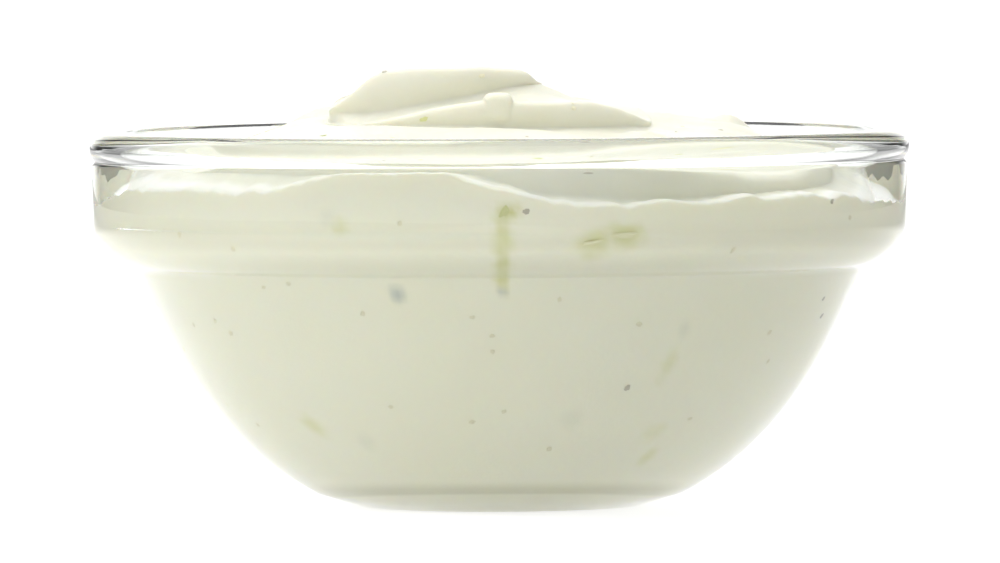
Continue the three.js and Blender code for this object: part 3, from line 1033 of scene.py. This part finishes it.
def on_top(points, tree):
    """Lays a flake on top at a random place; None on the tongue, which is smooth cream."""
    radius = TOP_REACH * math.sqrt(random.random())
    angle = TURN * random.random()
    start = Vector((radius * math.cos(angle), radius * math.sin(angle), ABOVE_ALL))
    aside = (start.x - TONGUE["centre"][0]) / TONGUE["half_width"]
    behind = (start.y - TONGUE["centre"][1]) / TONGUE["half_depth"]
    if math.hypot(aside, behind) < BARE_TONGUE:
        return None
    return on_surface(points, tree, start, Vector((0, 0, -1)))


def random_flake(least, most):
    """A flake of a length and width between the least and the most, turned at random."""
    part = random.random()
    length, width = (lerp(*limits, part) for limits in zip(least, most))
    return flake(length, width, 180 * random.random())


def bits_of(kind, tree):
    """The shapes of all the bits of one kind, with None for each that isn't laid."""
    for degrees, height, length, width, turn in BITS_ON_GLASS[kind]:
        yield on_glass(flake(length, width, turn), degrees, height)
    for across, up, length, width, turn in BITS_IN_VIEW[kind]:
        yield in_front_view(flake(length, width, turn), tree, across, up)
    on_rest, above, least, most = SCATTERED[kind]
    for _ in range(on_rest):
        degrees, height = (random.uniform(*limits) for limits in REST_OF_GLASS)
        yield on_glass(random_flake(least, most), degrees, height)
    for _ in range(above):
        yield on_top(random_flake(least, most), tree)


def build_bits(kind, tree):
    """All the bits of one kind as one mesh."""
    shapes = [shape for shape in bits_of(kind, tree) if shape is not None]
    firsts = [i * len(LENS_POINTS) for i in range(len(shapes))]
    faces = [tuple(first + corner for corner in face) for first in firsts for face in LENS_FACES]
    name, colour = BIT_LOOKS[kind]
    material, _, _ = new_material(name, Base_Color=(*colour, 1), Roughness=0.5)
    bits = new_object(name, np.vstack(shapes), faces, material)
    bits.data.shade_flat()
    return bits


# ---------------------------------------------------------------- stage
def add_camera():
    data = bpy.data.cameras.new("camera")
    data.lens = CAMERA_LENS
    data.sensor_width = 36.0
    data.clip_end = 60.0
    camera = bpy.data.objects.new("camera", data)
    camera.location = (0, -CAMERA_DISTANCE, CAMERA_HEIGHT)
    direction = CAMERA_TARGET - camera.location
    level = direction.to_track_quat("-Z", "Y")
    camera.rotation_euler = (level @ Quaternion((0, 0, 1), math.radians(-CAMERA_ROLL))).to_euler()
    bpy.context.scene.collection.objects.link(camera)
    bpy.context.scene.camera = camera


def math_node(tree, operation, first, second):
    node = tree.nodes.new("ShaderNodeMath")
    node.operation = operation
    for socket, value in zip(node.inputs, (first, second)):
        if isinstance(value, (int, float)):
            socket.default_value = value
        else:
            tree.links.new(value, socket)
    return node.outputs["Value"]


def falling_off(tree, value, start, end, most):
    """The most up to start, and smoothly down to 0 at end."""
    fall = tree.nodes.new("ShaderNodeMapRange")
    fall.interpolation_type = "SMOOTHSTEP"
    for socket, number in zip(("From Min", "From Max", "To Min", "To Max"), (start, end, most, 0)):
        fall.inputs[socket].default_value = number
    tree.links.new(value, fall.inputs["Value"])
    return fall.outputs["Result"]


def add_floor():
    """A grey table that shows white round the bowl and behind it, where it is lit from within."""
    material, tree, shader = new_material("pale_floor", Base_Color=(0.33, 0.33, 0.33, 1), Roughness=0.8)
    coordinates = tree.nodes.new("ShaderNodeTexCoord").outputs["Object"]
    across_and_behind = tree.nodes.new("ShaderNodeSeparateXYZ")
    tree.links.new(coordinates, across_and_behind.inputs["Vector"])
    aside = math_node(tree, "ABSOLUTE", across_and_behind.outputs["X"], 0)
    widening = math_node(tree, "MULTIPLY", across_and_behind.outputs["Y"], GLOW_WIDENS)
    glow = falling_off(tree, math_node(tree, "SUBTRACT", aside, widening), *GLOW_BEHIND)
    for middle, start, end, strength in GLOWS:
        distance = tree.nodes.new("ShaderNodeVectorMath")
        distance.operation = "DISTANCE"
        distance.inputs[1].default_value = middle
        tree.links.new(coordinates, distance.inputs[0])
        spot = falling_off(tree, distance.outputs["Value"], start, end, strength)
        glow = math_node(tree, "ADD", glow, spot)
    shader.inputs["Emission Color"].default_value = (1, 1, 1, 1)
    tree.links.new(glow, shader.inputs["Emission Strength"])
    signs = [(-1, -1), (1, -1), (1, 1), (-1, 1)]
    corners = [(x * FLOOR_HALF, y * FLOOR_HALF, FLOOR_LEVEL) for x, y in signs]
    floor = new_object("floor", corners, [(0, 1, 2, 3)], material)


def add_sky():
    """A white studio, brightest overhead and behind the bowl, and brighter on the left than the right."""
    world = bpy.data.worlds.new("studio")
    bpy.context.scene.world = world
    world.use_nodes = True
    tree = world.node_tree
    background = tree.nodes["Background"]
    background.inputs["Color"].default_value = (1, 1, 1, 1)
    coordinates = tree.nodes.new("ShaderNodeTexCoord")
    strength = SKY_BASE
    for direction, start, lobe_strength in SKY_LOBES:
        facing = tree.nodes.new("ShaderNodeVectorMath")
        facing.operation = "DOT_PRODUCT"
        facing.inputs[1].default_value = Vector(direction).normalized()
        tree.links.new(coordinates.outputs["Generated"], facing.inputs[0])
        lobe = tree.nodes.new("ShaderNodeMapRange")
        lobe.interpolation_type = "SMOOTHSTEP"
        lobe.inputs["From Min"].default_value = start
        lobe.inputs["To Max"].default_value = lobe_strength
        tree.links.new(facing.outputs["Value"], lobe.inputs["Value"])
        strength = math_node(tree, "ADD", strength, lobe.outputs["Result"])
    tree.links.new(strength, background.inputs["Strength"])


def set_look():
    scene = bpy.context.scene
    scene.view_settings.view_transform = "Standard"
    scene.view_settings.look = "None"
    scene.cycles.use_denoising = True
    scene.cycles.max_bounces = 16
    scene.cycles.transmission_bounces = 12
    scene.cycles.diffuse_bounces = 6


add_camera()
set_look()
add_sky()
add_floor()

bowl = build_bowl(glass_material())
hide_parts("bowl")
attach(bowl, "root")

dip = build_dip(cream_material())
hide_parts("dip")
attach(dip, "root")

dip_points = [vertex.co.copy() for vertex in dip.data.vertices]
dip_faces = [tuple(face.vertices) for face in dip.data.polygons]
dip_surface = BVHTree.FromPolygons(dip_points, dip_faces)
for kind in BIT_LOOKS:
    bits = build_bits(kind, dip_surface)
    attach(bits, "root")
